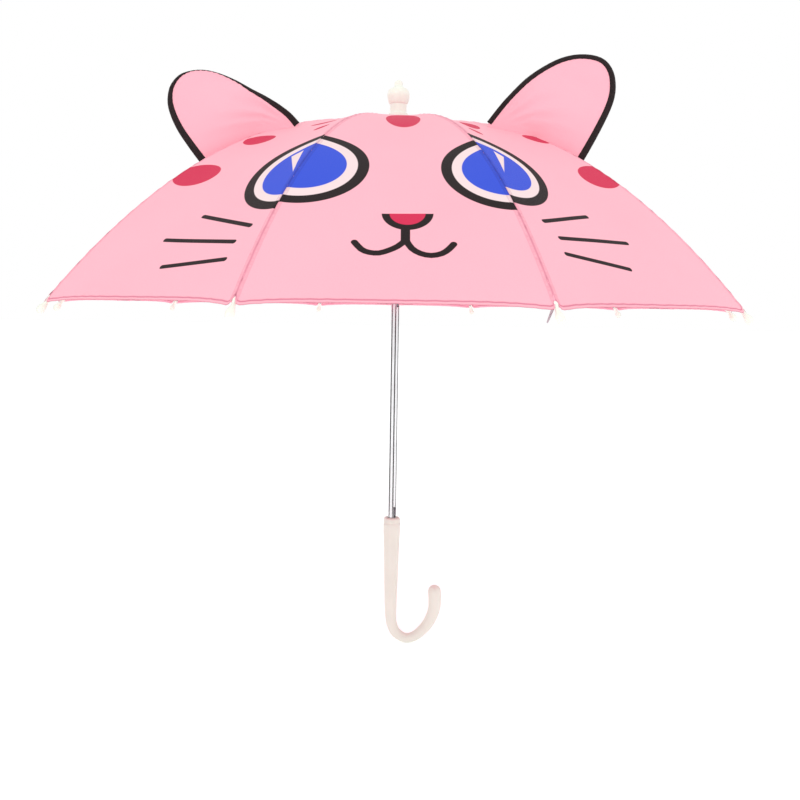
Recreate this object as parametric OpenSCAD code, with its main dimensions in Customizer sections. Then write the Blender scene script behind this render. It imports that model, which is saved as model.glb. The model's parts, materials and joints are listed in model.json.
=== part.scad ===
// Open children's umbrella with cat ears. Millimetres, +Z up.
// The shaft's axis is the Z axis and the handle's lowest point is at z = 0.
// The face of the canopy looks along -Y and the handle's hook points along +X.

/* [Canopy] */
// Radius of the fabric, from the shaft's axis to a corner
rim_r = 350; // [330:1:360]
// Height of the fabric's corners
rim_z = 350; // [346:1:354]
// Height of the fabric at the shaft
apex_z = 540; // [534:1:544]
// Power of the ribs' arc: 2 is a parabola, more is flatter on top
arc_power = 2.35; // [2.2:0.05:2.5]
// Thickness of the fabric's solid
fabric_t = 0.6; // [0.4:0.1:0.8]
// How far the middle of a gore sinks below its straight chords
gore_sag = 2.5; // [0:0.5:5]
// How far the hem is cut back in the middle of a gore
hem_cut = 3.5; // [0:0.5:8]

/* [Ribs and stretchers] */
// Width of a rib, round the umbrella
rib_w = 2; // [1.6:0.1:2.2]
// Depth of a rib
rib_h = 2.4; // [2:0.1:2.6]
// Radius at which the stretchers meet the ribs
elbow_r = 175; // [170:1:180]
// Radius of the ribs' pivots on the crown's wire
crown_pivot_r = 9; // [8.8:0.1:9.4]
// Radius of the stretchers' pivots on the runner
runner_pivot_r = 9.5; // [9.3:0.1:9.8]
// Radius of the wire that the ribs and stretchers hang on
wire_r = 0.6; // [0.5:0.05:0.65]
// Running clearance of an eye on its pin or wire
eye_gap = 0.08; // [0.06:0.01:0.1]
// Radius of the elbow's rivet
rivet_r = 0.8; // [0.7:0.05:0.9]
// Length of the fork that straddles the rib
fork_len = 38; // [34:1:42]

/* [Shaft and runner] */
// Outer diameter of the steel tube
shaft_d = 8.5; // [8:0.1:9]
// Wall of the tube
shaft_wall = 0.5; // [0.4:0.1:0.7]
// Height of the stretchers' pivots with the umbrella open
runner_z = 396; // [394:1:400]
// Length of the runner below its pivots
runner_len = 36; // [32:1:38]
// Outer radius of the runner's sleeve
runner_sleeve_r = 7.4; // [7.3:0.1:7.5]
// Outer radius of the runner's notched head
runner_head_r = 12.5; // [11.5:0.5:13]
// How far a catch's nose stands out of the tube
catch_out = 2.05; // [1.6:0.05:2.1]

/* [Handle and ferrule] */
// Height of the handle's top edge
handle_top = 128; // [124:1:130]
// Radius of the handle's rod at the hook
rod_r = 6.7; // [6:0.1:7]
// Radius of the handle at its top
grip_r = 8; // [7.6:0.1:8.4]
// Radius of the hook's centre line
hook_r = 22.5; // [20:0.5:26]
// Height of the hook's rounded end
hook_end_z = 60; // [50:1:70]
// Height of the whole umbrella, to the ferrule's tip
total_h = 580; // [576:1:586]

/* [Ears] */
// Distance of the ears in front of the shaft
ear_y = 92; // [88:1:96]
// Width of the black binding round an ear
binding_w = 5; // [4:0.5:7]

/* [Hidden] */
$fn = 48;
rib_count = 10;
half_gore = 180 / rib_count;
first_az = -90 + half_gore;
shaft_r = shaft_d / 2;
bore_r = shaft_r - shaft_wall;

// Nodes
function nodes_of(word) = [for (i = [0 : rib_count - 1]) str(word, "_", i)];

// The arc of the fabric over a rib, its slope, and its unit normal and tangent in the rib's plane
function arc_z(r) = rim_z + (apex_z - rim_z) * (1 - pow(r / rim_r, arc_power));
function arc_slope(r) = -(apex_z - rim_z) * arc_power / rim_r * pow(r / rim_r, arc_power - 1);
function arc_normal(r) = [-arc_slope(r), 1] / norm([1, arc_slope(r)]);
function arc_tangent(r) = [1, arc_slope(r)] / norm([1, arc_slope(r)]);
function below_arc(r, depth) = [r, arc_z(r)] - depth * arc_normal(r);

// Rib: its centre line runs this far below the fabric's top
fabric_gap = 1.6;
rib_drop = fabric_t + fabric_gap + rib_h / 2;
eye_r = 1.5;
rib_start = [crown_pivot_r, apex_z - rib_drop];
elbow = below_arc(elbow_r, rib_drop);
rib_tip_r = rim_r - 2.5;
lap_r = 1.9;
lap_gap = 0.15;

// Crown
crown_slot_w = rib_w + 0.6;
crown_slot_r = 6.9;
crown_top = apex_z - fabric_t - 1;
crown_h = 7;
crown_r = 12;
crown_hub_r = 6.5;
crown_hub_h = 13;

// Stretcher: from the runner's pivot to the elbow
runner_pivot = [runner_pivot_r, runner_z];
stretcher_len = norm(elbow - runner_pivot);
stretcher_tilt = atan2(elbow[1] - runner_pivot[1], elbow[0] - runner_pivot[0]);
stretcher_h = 2.6;
fork_gap = 1.6;
fork_t = 1;
fork_h = 3.4;
fork_r = 2.2;

// Runner and catches
runner_slot_w = rib_w + 0.8;
runner_slot_r = runner_sleeve_r;
runner_head_top = 3;
runner_head_h = 7;
runner_foot_r = 9.4;
runner_foot_h = 5;
running_gap = 0.08;
catch_az = first_az + half_gore;
catch_w = 1.6;
catch_slot_w = 2.2;
catch_nose_h = 10;
key_w = 2.8;
key_r = shaft_r + catch_out + 0.4;
top_catch_z = runner_z - runner_len - 0.4;
bottom_catch_z = 141;

// Shaft's ends inside the handle and the ferrule
shaft_bottom = 84;
shaft_top = 566;

// One polygon of the radial plane, thickened round the umbrella
module plate(points, t, shift = 0) {
    translate([0, shift, 0]) rotate([90, 0, 0]) linear_extrude(height = t, center = true) polygon(points);
}

// A round pin or hole through the radial plane at the point p
module cross(p, r, t, shift = 0) {
    translate([p[0], shift, p[1]]) rotate([90, 0, 0]) cylinder(r = r, h = t, center = true);
}

// Puts a radial plane's shape at the azimuth of rib i
module at_rib(i) {
    rotate([0, 0, first_az + 2 * half_gore * i]) children();
}

// A strip of the given depth along the arc, between two radii
function strip(r0, r1, depth, h, steps = 10) =
    let (rs = [for (k = [0 : steps]) r0 + (r1 - r0) * k / steps])
    concat([for (r = rs) below_arc(r, depth - h / 2)],
           [for (k = [steps : -1 : 0]) below_arc(rs[k], depth + h / 2)]);

module ring_wire(r, z) {
    translate([0, 0, z]) rotate_extrude() translate([r, 0]) circle(r = wire_r, $fn = 24);
}

module shaft() {
    color("silver") difference() {
        translate([0, 0, shaft_bottom]) cylinder(r = shaft_r, h = shaft_top - shaft_bottom);
        translate([0, 0, shaft_bottom - 1]) cylinder(r = bore_r, h = shaft_top - shaft_bottom + 2);
        for (top = [top_catch_z, bottom_catch_z])
            rotate([0, 0, catch_az])
                translate([0, -catch_slot_w / 2, top - catch_nose_h - 0.8])
                    cube([shaft_r + 1, catch_slot_w, catch_nose_h + 1.2]);
        stop_pin(0);
        crown_cross_pin(0);
    }
}

module handle() {
    lip_h = 6;
    hook_z = rod_r + hook_r;
    color("ivory") difference() {
        union() {
            rotate_extrude() polygon([
                [0, hook_z], [rod_r, hook_z], [rod_r, hook_z + 30], [grip_r, handle_top - lip_h - 20],
                [grip_r, handle_top - lip_h], [grip_r - 0.7, handle_top - lip_h + 0.7],
                [grip_r - 0.7, handle_top - 1.2], [grip_r - 1.7, handle_top], [0, handle_top]]);
            translate([hook_r, 0, hook_z]) rotate([90, 0, 0]) rotate([0, 0, 180])
                rotate_extrude(angle = 180) translate([hook_r, 0]) circle(r = rod_r);
            translate([2 * hook_r, 0, hook_z]) cylinder(r = rod_r, h = hook_end_z - rod_r - hook_z);
            translate([2 * hook_r, 0, hook_end_z - rod_r]) rotate_extrude()
                intersection() { circle(r = rod_r); square(rod_r); }
        }
        translate([0, 0, shaft_bottom]) cylinder(r = shaft_r + 0.02, h = handle_top);
    }
}

module ferrule() {
    foot = apex_z + 1.2;
    neck_r = 8.3;
    bulb_r = 11.5;
    nub_r = 4.6;
    color("ivory") difference() {
        rotate_extrude() polygon([
            [0, foot], [9.8, foot], [9.8, foot + 1.4], [neck_r, foot + 2.6], [neck_r, foot + 18.4],
            [bulb_r - 1.6, foot + 19.4], [bulb_r, foot + 23], [bulb_r, foot + 27], [bulb_r - 1.8, foot + 32],
            [bulb_r - 4.6, total_h - 3], [nub_r, total_h - 2.4], [nub_r - 1, total_h - 0.6],
            [nub_r - 2.4, total_h], [0, total_h]]);
        translate([0, 0, foot - 1]) cylinder(r = shaft_r + 0.02, h = shaft_top - foot + 1);
    }
}

module rosette() {
    color("pink") translate([0, 0, apex_z + 0.1]) difference() {
        cylinder(r = 11, h = 0.9);
        translate([0, 0, -1]) cylinder(r = shaft_r + 0.1, h = 3);
    }
}

module crown() {
    color("ivory") difference() {
        union() {
            translate([0, 0, crown_top - crown_h]) cylinder(r = crown_r, h = crown_h);
            translate([0, 0, crown_top - crown_hub_h]) cylinder(r = crown_hub_r, h = crown_hub_h);
        }
        translate([0, 0, crown_top - crown_hub_h - 1]) cylinder(r = shaft_r + 0.02, h = crown_hub_h + 2);
        for (i = [0 : rib_count - 1])
            at_rib(i) translate([crown_slot_r, -crown_slot_w / 2, crown_top - crown_h - 1])
                cube([crown_r, crown_slot_w, crown_h + 2]);
        translate([0, 0, rib_start[1]]) rotate_extrude()
            translate([crown_pivot_r, 0]) circle(r = wire_r + 0.02, $fn = 24);
        crown_cross_pin(0.02);
    }
}

module crown_wire() {
    color("silver") ring_wire(crown_pivot_r, rib_start[1]);
}

module crown_cross_pin(gap) {
    translate([0, 0, crown_top - crown_h - 3]) rotate([0, 90, 0])
        cylinder(r = 0.8 + gap, h = 2 * crown_hub_r + 0.8, center = true);
}

module crown_pin() {
    color("silver") crown_cross_pin(0);
}

module stop_pin(gap) {
    translate([0, 0, runner_z + runner_head_top + 1.4]) rotate([0, 90, catch_az])
        cylinder(r = 1 + gap, h = shaft_d + 2.6, center = true);
}

module top_stop() {
    color("silver") stop_pin(0);
}

// The fabric over one gore: rho is the radius at its two ribs, w runs from -1 to 1 between them
function gore_point(rho, w, depth) =
    let (p = below_arc(rho, depth + gore_sag * (1 - w * w) * min(1, 4 * (1 - rho / rim_r), 3 * rho / rim_r)),
         side = p[0] * sin(half_gore) - 0.12)
    [p[0] * cos(half_gore), w * side, p[1]];

module gore() {
    rings = 16;
    cols = 4;
    hole = 6;
    function rho(k, w) = hole + (rim_r - 4 - hem_cut * (1 - w * w) - hole) * k / rings;
    function skin(depth) = [for (k = [0 : rings], c = [0 : cols])
        let (w = 2 * c / cols - 1) gore_point(rho(k, w), w, depth)];
    row = cols + 1;
    count = (rings + 1) * row;
    cells = [for (k = [0 : rings - 1], c = [0 : cols - 1]) k * row + c];
    top = [for (a = cells) each [[a, a + 1, a + row + 1], [a, a + row + 1, a + row]]];
    under = [for (t = top) [for (v = [t[2], t[1], t[0]]) v + count]];
    edge = concat([for (c = [0 : cols - 1]) [c + 1, c]],
                  [for (c = [0 : cols - 1]) [rings * row + c, rings * row + c + 1]],
                  [for (k = [0 : rings - 1]) [k * row, k * row + row]],
                  [for (k = [0 : rings - 1]) [k * row + row + cols, k * row + cols]]);
    wall = [for (e = edge) each [[e[0], e[1], e[1] + count], [e[0], e[1] + count, e[0] + count]]];
    polyhedron(points = concat(skin(0), skin(fabric_t)), faces = concat(top, under, wall));
}

module canopy() {
    color("pink") for (i = [0 : rib_count - 1])
        rotate([0, 0, first_az + half_gore * (2 * i + 1)]) gore();
}

module runner() {
    foot = runner_z - runner_len;
    color("ivory") difference() {
        union() {
            translate([0, 0, foot]) cylinder(r = runner_sleeve_r, h = runner_len + runner_head_top);
            translate([0, 0, foot]) cylinder(r = runner_foot_r, h = runner_foot_h);
            translate([0, 0, runner_z + runner_head_top - runner_head_h])
                cylinder(r = runner_head_r, h = runner_head_h);
        }
        translate([0, 0, foot - 1]) cylinder(r = shaft_r + running_gap, h = runner_len + 10);
        rotate([0, 0, catch_az]) translate([0, -key_w / 2, foot - 1]) cube([key_r, key_w, runner_len + 10]);
        for (i = [0 : rib_count - 1])
            at_rib(i) translate([runner_slot_r, -runner_slot_w / 2, runner_z - runner_head_h])
                cube([runner_head_r, runner_slot_w, 2 * runner_head_h]);
        translate([0, 0, runner_z]) rotate_extrude()
            translate([runner_pivot_r, 0]) circle(r = wire_r + 0.02, $fn = 24);
    }
}

// Drawn only inside the runner's teeth: the stretchers' pivot on it is the opened one
module runner_wire() {
    color("silver") difference() {
        ring_wire(runner_pivot_r, runner_z);
        for (i = [0 : rib_count - 1])
            at_rib(i) translate([runner_slot_r, -runner_slot_w / 2, runner_z - runner_head_h])
                cube([runner_head_r, runner_slot_w, 2 * runner_head_h]);
    }
}

// A leaf spring in the tube with a wedge nose that stands out of the slot
module catch(top) {
    nose_r = shaft_r + catch_out;
    leaf_r = bore_r - 0.5;
    color("dimgray") rotate([0, 0, catch_az]) plate([
        [leaf_r - 1, top - 34], [leaf_r, top - 34], [leaf_r, top - catch_nose_h - 0.4],
        [nose_r, top - 1.6], [nose_r - 0.4, top], [leaf_r, top], [leaf_r - 1, top - 1]], catch_w);
}

module top_catch() {
    catch(top_catch_z);
}

module bottom_catch() {
    catch(bottom_catch_z);
}

module rib(i) {
    color("silver") at_rib(i) difference() {
        union() {
            plate(concat([rib_start + [0, rib_h / 2]], strip(14, elbow_r - 2.6, rib_drop, rib_h),
                         [rib_start - [0, rib_h / 2]]), rib_w);
            cross(rib_start, eye_r, rib_w);
            cross(elbow, lap_r, rib_w / 2 - lap_gap, rib_w / 4 + lap_gap / 2);
            plate(strip(elbow_r - 3, elbow_r, rib_drop, rib_h, 1),
                  rib_w / 2 - lap_gap, rib_w / 4 + lap_gap / 2);
            cross(elbow, rivet_r, 2 * (fork_gap + fork_t) + 0.6);
        }
        cross(rib_start, wire_r + eye_gap, rib_w + 1);
    }
}

module rib_end(i) {
    color("silver") at_rib(i) difference() {
        union() {
            plate(strip(elbow_r + 2.6, rib_tip_r, rib_drop, rib_h), rib_w);
            cross(elbow, lap_r, rib_w / 2 - lap_gap, -rib_w / 4 - lap_gap / 2);
            plate(strip(elbow_r, elbow_r + 3, rib_drop, rib_h, 1),
                  rib_w / 2 - lap_gap, -rib_w / 4 - lap_gap / 2);
        }
        cross(elbow, rivet_r + eye_gap, rib_w + 1);
    }
}

module stretcher(i) {
    fork_start = stretcher_len - fork_len;
    half = stretcher_h / 2;
    color("silver") at_rib(i)
        translate([runner_pivot[0], 0, runner_pivot[1]]) rotate([0, -stretcher_tilt, 0])
            difference() {
                union() {
                    plate([[0, -half], [fork_start, -half], [fork_start, half], [0, half]], rib_w);
                    cross([0, 0], eye_r, rib_w);
                    plate([[fork_start - 5, -half], [fork_start, -half], [fork_start, half],
                           [fork_start - 5, half]], 2 * (fork_gap + fork_t));
                    for (side = [-1, 1]) {
                        shift = side * (fork_gap + fork_t / 2);
                        plate([[fork_start - 5, -half], [stretcher_len, -fork_h / 2],
                               [stretcher_len, fork_h / 2], [fork_start - 5, half]], fork_t, shift);
                        cross([stretcher_len, 0], fork_r, fork_t, shift);
                    }
                }
                cross([0, 0], wire_r + eye_gap, rib_w + 1);
                cross([stretcher_len, 0], rivet_r + eye_gap, 4 * (fork_gap + fork_t));
            }
}

// A cap pushed on the rib's end, which ends in a ball
module tip(i) {
    neck_r = 1.9;
    ball_r = 3.3;
    start = below_arc(rim_r - 3.2, rib_drop);
    dir = arc_tangent(rim_r);
    color("ivory") at_rib(i) translate([start[0], 0, start[1]])
        rotate([0, 90 - atan2(dir[1], dir[0]), 0]) difference() {
            rotate_extrude() polygon([
                [0, 0], [neck_r, 0], [neck_r, 5], [neck_r + 0.5, 7], [ball_r, 10.3], [ball_r, 12.4],
                [ball_r - 0.9, 14.4], [ball_r - 2, 15.2], [0, 15.5]]);
            translate([0, 0, -1]) cylinder(r = 1.62, h = 2.2);
        }
}

// Height of the fabric at a point in the ear's plane
function cover_z(x) =
    let (az = atan2(-ear_y, x),
         gore_az = first_az + half_gore * (2 * floor((az - first_az) / (2 * half_gore)) + 1),
         rho = norm([x, ear_y]) * cos(az - gore_az) / cos(half_gore))
    arc_z(rho);

// A smooth curve through p1 and p2
function spline(p0, p1, p2, p3, t) =
    0.5 * ((2 * p1) + (p2 - p0) * t + (2 * p0 - 5 * p1 + 4 * p2 - p3) * t * t
           + (3 * p1 - p0 - 3 * p2 + p3) * t * t * t);

// Ear outline over the fabric: x outwards from the shaft and height, from the inner to the outer foot
right_outline = [[90, 524], [104, 542], [130, 566], [158, 582], [186, 584], [205, 566], [202, 532], [178, 497]];
left_outline = [[98, 522], [122, 539], [152, 560], [184, 569], [206, 562], [212, 542], [203, 512], [182, 495]];

function ear_edge(outline, shrink) =
    let (n = len(outline), mid = (outline[0] + outline[n - 1]) / 2)
    [for (k = [0 : n - 2], s = [0 : 3])
        let (p = spline(outline[max(k - 1, 0)], outline[k], outline[k + 1], outline[min(k + 2, n - 1)], s / 4),
             d = p - mid)
        mid + d * (1 - shrink / norm(d))];

// The panel inside the binding, closed along the fabric below it
module ear_panel(outline) {
    n = len(outline);
    gap = 1.2;
    steps = 8;
    x0 = outline[0][0] + binding_w;
    x1 = outline[n - 1][0] - binding_w;
    foot = [for (k = [0 : steps]) let (x = x1 + (x0 - x1) * k / steps) [x, cover_z(x) + gap]];
    translate([0, -ear_y, 0]) plate(concat(ear_edge(outline, binding_w), foot), 1.4);
}

module ear_binding(outline) {
    inner = ear_edge(outline, binding_w);
    back = [for (k = [len(inner) - 1 : -1 : 0]) inner[k]];
    translate([0, -ear_y, 0]) plate(concat(ear_edge(outline, 0), back), 2.2);
}

module ear_right() {
    color("pink") ear_panel(right_outline);
}

module ear_left() {
    color("pink") mirror([1, 0, 0]) ear_panel(left_outline);
}

module ear_binding_right() {
    color("black") ear_binding(right_outline);
}

module ear_binding_left() {
    color("black") mirror([1, 0, 0]) ear_binding(left_outline);
}

// The strap lies under the front gore beside rib 0, sewn at its upper end
strap_w = 12;
strap_side = -9;
strap_drop = 7.5;

module tie_strap() {
    color("pink") at_rib(0) plate(strip(rim_r - 110, rim_r - 6, strap_drop, 0.8, 6), strap_w, strap_side);
}

// The elastic loop on the strap's free end, which hangs out under the hem
module tie_loop() {
    loop_w = 4;
    loop_h = 13;
    top = below_arc(rim_r - 6, strap_drop);
    color("dimgray") at_rib(0) translate([top[0] + 1, strap_side, top[1]]) rotate([90, 0, 90])
        linear_extrude(height = 1.2, center = true) difference() {
            translate([-loop_w / 2, -loop_h]) square([loop_w, loop_h]);
            translate([-loop_w / 2 + 1.2, -loop_h + 1.2]) square([loop_w - 2.4, loop_h - 3]);
        }
}

shaft();
handle();
ferrule();
rosette();
crown();
crown_wire();
crown_pin();
top_stop();
canopy();
runner();
runner_wire();
top_catch();
bottom_catch();
for (i = [0 : rib_count - 1]) {
    rib(i);
    rib_end(i);
    stretcher(i);
    tip(i);
}
ear_left();
ear_right();
ear_binding_left();
ear_binding_right();
tie_strap();
tie_loop();
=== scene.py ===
"""Looks for the children's umbrella with cat ears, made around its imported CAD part.

Metres, +Z up. The shaft's axis is the Z axis, and the face on the canopy looks along -Y.
The cloth is drawn in flat gore coordinates: u runs across a gore from its middle line, anticlockwise
from above, and v is the distance from the top along the ribs' arc. On the canopy itself, rho is the distance
out from the axis over a rib, and w runs from -1 to 1 across a gore, from rib to rib.
"""

import json
import math

import bpy
import numpy as np
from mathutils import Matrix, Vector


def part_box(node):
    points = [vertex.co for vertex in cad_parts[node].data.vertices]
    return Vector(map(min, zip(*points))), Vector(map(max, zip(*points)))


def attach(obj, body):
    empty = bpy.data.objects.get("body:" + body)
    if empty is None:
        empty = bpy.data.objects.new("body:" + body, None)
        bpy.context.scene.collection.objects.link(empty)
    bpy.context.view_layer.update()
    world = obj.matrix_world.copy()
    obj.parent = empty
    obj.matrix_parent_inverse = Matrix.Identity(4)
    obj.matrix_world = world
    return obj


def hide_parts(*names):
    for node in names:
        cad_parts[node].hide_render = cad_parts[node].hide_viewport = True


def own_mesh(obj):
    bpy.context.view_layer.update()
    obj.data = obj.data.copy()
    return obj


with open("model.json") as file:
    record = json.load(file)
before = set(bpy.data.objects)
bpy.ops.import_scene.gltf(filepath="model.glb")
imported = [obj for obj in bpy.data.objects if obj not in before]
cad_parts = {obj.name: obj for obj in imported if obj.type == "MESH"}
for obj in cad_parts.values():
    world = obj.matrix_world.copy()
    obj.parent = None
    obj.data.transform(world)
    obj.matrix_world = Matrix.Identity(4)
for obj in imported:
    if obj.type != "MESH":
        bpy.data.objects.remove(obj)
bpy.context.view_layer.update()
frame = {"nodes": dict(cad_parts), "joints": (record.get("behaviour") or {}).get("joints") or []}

# ---------------- sizes, as in the part
RIBS = 10
HALF_GORE = math.pi / RIBS
FIRST_RIB = HALF_GORE - math.pi / 2  # azimuth of rib 0, the front right one
RIM_R = 0.350
RIM_Z = 0.350
RIB_END_R = RIM_R - 0.005
APEX_Z = 0.540
ARC_POWER = 2.35  # how the arc steepens towards the rim
GORE_SAG = 0.0025  # of a gore's middle line under the arc
HEM_CUT = 0.0026  # how far the hem scoops in between two ribs
HEM_REACH = 0.0013  # how far the hem passes the rim at a rib
CORNER_NOTCH = 0.0045  # cut out of the hem at a tip
NOTCH_HALF = 0.0021
TOP_HOLE = 0.006  # radius of the cloth's hole under the ferrule

# ---------------- cloth
CLOTH_T = 0.00025
CLOTH_DEPTH = 0.00012  # of the cloth's outer face under the arc
TAPE_DEPTH = 0.00055  # of the seam allowances inside, under the arc
TAPE_HALF = 0.004
TAPE_T = 0.00035
SEAM_BAND = 0.0028  # from a seam to the stitches beside it
HEM_BAND = 0.0030  # from the hem's edge to its row of stitches
MIDDLE_LAP = 0.012  # of two pieces of cloth along a gore's middle line
LEAST_LAP = 0.0055  # the same, near the crown
FULL_LAP_HALF = 0.03  # half the gore's width from which the lap is full
ELBOW_LAP = 0.0035  # of an upper and a lower piece
LAP_DIVE = 0.00045  # how deep a lap goes under its neighbour
NO_SEAM = 0.1  # a distance at which no seam or hem shows any more

JOINTS = {j["name"]: j for j in frame["joints"]}
X_AXIS = np.array([1.0, 0, 0])
Y_AXIS = np.array([0, 1.0, 0])


# ---------------- small helpers
def linear(*levels):
    """An sRGB colour of 0 to 255 as a linear RGBA colour."""
    shares = [level / 255 for level in levels]
    return tuple(c / 12.92 if c <= 0.04045 else ((c + 0.055) / 1.055) ** 2.4 for c in shares) + (1.0,)


def smooth(x):
    """A soft step from 0 to 1."""
    x = np.clip(x, 0, 1)
    return x * x * (3 - 2 * x)


def rib_azimuth(rib):
    return FIRST_RIB + 2 * HALF_GORE * rib


def tangent_at(azimuth):
    """The level direction across an azimuth, anticlockwise from above."""
    return np.array([-math.sin(azimuth), math.cos(azimuth), 0])


def unit(vectors):
    """Each vector at length 1; one of no length stays so."""
    vectors = np.asarray(vectors, float)
    return vectors / np.maximum(np.linalg.norm(vectors, axis=-1, keepdims=True), 1e-12)


def grid(first, second):
    """A vector for each point of a grid from its first two values, with 0 for the third."""
    first, second = np.broadcast_arrays(first, second)
    return np.stack([first, second, 0 * first], -1)


def spline(points, steps):
    """A smooth curve through the points, which may hold any number of values each."""
    points = np.asarray(points, float)
    out = []
    last = len(points) - 1
    for k in range(last):
        p0, p1, p2, p3 = (points[min(max(k + j, 0), last)] for j in (-1, 0, 1, 2))
        for t in np.arange(steps) / steps:
            out.append(0.5 * (2 * p1 + (p2 - p0) * t + (2 * p0 - 5 * p1 + 4 * p2 - p3) * t * t
                              + (3 * p1 - p0 - 3 * p2 + p3) * t ** 3))
    out.append(points[-1])
    return np.array(out)


def new_object(name, points, faces, materials, face_material=None, shade_smooth=True):
    mesh = bpy.data.meshes.new(name)
    mesh.from_pydata([tuple(p) for p in points], [], [tuple(int(i) for i in f) for f in faces])
    for material in materials:
        mesh.materials.append(material)
    if face_material is not None:
        mesh.polygons.foreach_set("material_index", np.asarray(face_material, np.int32))
    mesh.polygons.foreach_set("use_smooth", [shade_smooth] * len(mesh.polygons))
    mesh.validate()
    mesh.update()
    obj = bpy.data.objects.new(name, mesh)
    bpy.context.scene.collection.objects.link(obj)
    return obj


def circle(centre, radius, across, up, segments):
    """Points round a circle, from the direction across towards the direction up."""
    turn = 2 * math.pi * np.arange(segments)[:, None] / segments
    return np.asarray(centre, float) + radius * (np.cos(turn) * across + np.sin(turn) * up)


def tube_faces(rings, segments, closed=False):
    """Outward faces of a tube of rings that turn left along it. Its ends are capped, or meet if closed."""
    faces = []
    for k in range(rings if closed else rings - 1):
        start, after = k * segments, (k + 1) % rings * segments
        for j in range(segments):
            q = (j + 1) % segments
            faces.append((start + j, start + q, after + q, after + j))
    if not closed:
        faces.append(tuple(range(segments))[::-1])
        faces.append(tuple((rings - 1) * segments + j for j in range(segments)))
    return faces


def new_tube(name, rings, material, closed=False):
    faces = tube_faces(len(rings), len(rings[0]), closed)
    return new_object(name, np.concatenate(rings), faces, [material])


# ---------------- shader nodes
class Nodes:
    """Short names for building one material's nodes."""

    def __init__(self, name):
        self.material = bpy.data.materials.new(name)
        self.material.use_nodes = True
        self.tree = self.material.node_tree
        self.shader = self.tree.nodes["Principled BSDF"]

    def put(self, socket, value):
        if isinstance(value, bpy.types.NodeSocket):
            self.tree.links.new(value, socket)
        else:
            socket.default_value = value

    def node(self, kind, values=None, **settings):
        """A new node with its settings, and a number or a link in each input that values names."""
        made = self.tree.nodes.new(kind)
        for key, value in settings.items():
            setattr(made, key, value)
        for key, value in (values or {}).items():
            self.put(made.inputs[key], value)
        return made

    def math(self, operation, a, b=0.0, clamp=False):
        return self.node("ShaderNodeMath", {0: a, 1: b}, operation=operation, use_clamp=clamp).outputs[0]

    def wave(self, value, pitch):
        return self.math("SINE", self.math("MULTIPLY", value, 2 * math.pi / pitch))

    def vector(self, operation, a, b=(0, 0, 0)):
        made = self.node("ShaderNodeVectorMath", {0: a, 1: b}, operation=operation)
        return made.outputs["Value" if operation in ("DOT_PRODUCT", "LENGTH") else "Vector"]

    def scaled(self, vector, share):
        values = {0: vector, "Scale": share}
        return self.node("ShaderNodeVectorMath", values, operation="SCALE").outputs["Vector"]

    def attribute(self, name):
        return self.node("ShaderNodeAttribute", attribute_name=name).outputs["Vector"]

    def split(self, vector):
        return self.node("ShaderNodeSeparateXYZ", {0: vector}).outputs

    def join(self, x, y):
        return self.node("ShaderNodeCombineXYZ", {0: x, 1: y}).outputs[0]

    def noise(self, vector, scale, detail=2.0, rough=0.5):
        values = {"Vector": vector, "Scale": scale, "Detail": detail, "Roughness": rough}
        return self.node("ShaderNodeTexNoise", values).outputs["Fac"]

    def place(self):
        return self.node("ShaderNodeTexCoord").outputs["Object"]

    def ramp(self, value, low, high, out_low=0.0, out_high=1.0):
        values = {"Value": value, "From Min": low, "From Max": high, "To Min": out_low, "To Max": out_high}
        return self.node("ShaderNodeMapRange", values, clamp=True).outputs[0]

    def mix(self, share, a, b, blend="MIX"):
        values = {0: share, 6: a, 7: b}
        return self.node("ShaderNodeMix", values, data_type="RGBA", blend_type=blend).outputs[2]

    def bump(self, height, distance, strength=1.0):
        made = self.node("ShaderNodeBump", {"Height": height, "Distance": distance, "Strength": strength})
        self.put(self.shader.inputs["Normal"], made.outputs[0])

    def set(self, **values):
        for key, value in values.items():
            self.put(self.shader.inputs[key.replace("_", " ")], value)


# ---------------- the print on the cloth
PINK = linear(253, 183, 196)
INSIDE_PINK = linear(255, 180, 198)
INK = {
    "crimson": linear(211, 48, 84),
    "rose": linear(211, 46, 84),
    "black": linear(36, 26, 27),
    "white": linear(240, 217, 218),
    "blue": linear(56, 84, 212),
}
EDGE_BLUR = 0.00025  # half the width of a printed shape's soft edge
THREAD_PITCH = 0.0009


def oval(ink, centre, radii, angle=0.0):
    return ("oval", ink, centre, radii, math.radians(angle))


def cup(ink, centre, radius, brim):
    """The part of a disc that lies nearer the hem than brim."""
    return ("cup", ink, centre, radius, brim)


def stroke(ink, radius, *points):
    """A brush line through the points, with round ends."""
    return ("stroke", ink, radius, points)


def brush(ink, radius, *points):
    """A stroke along a smooth curve through the points."""
    return stroke(ink, radius, *[tuple(p) for p in spline(points, 2)])


def whisker(start, end):
    return stroke("black", 0.0021, start, end)


def patch(ink, *corners):
    """A convex patch, its corners given anticlockwise with v downwards."""
    return ("patch", ink, corners)


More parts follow.
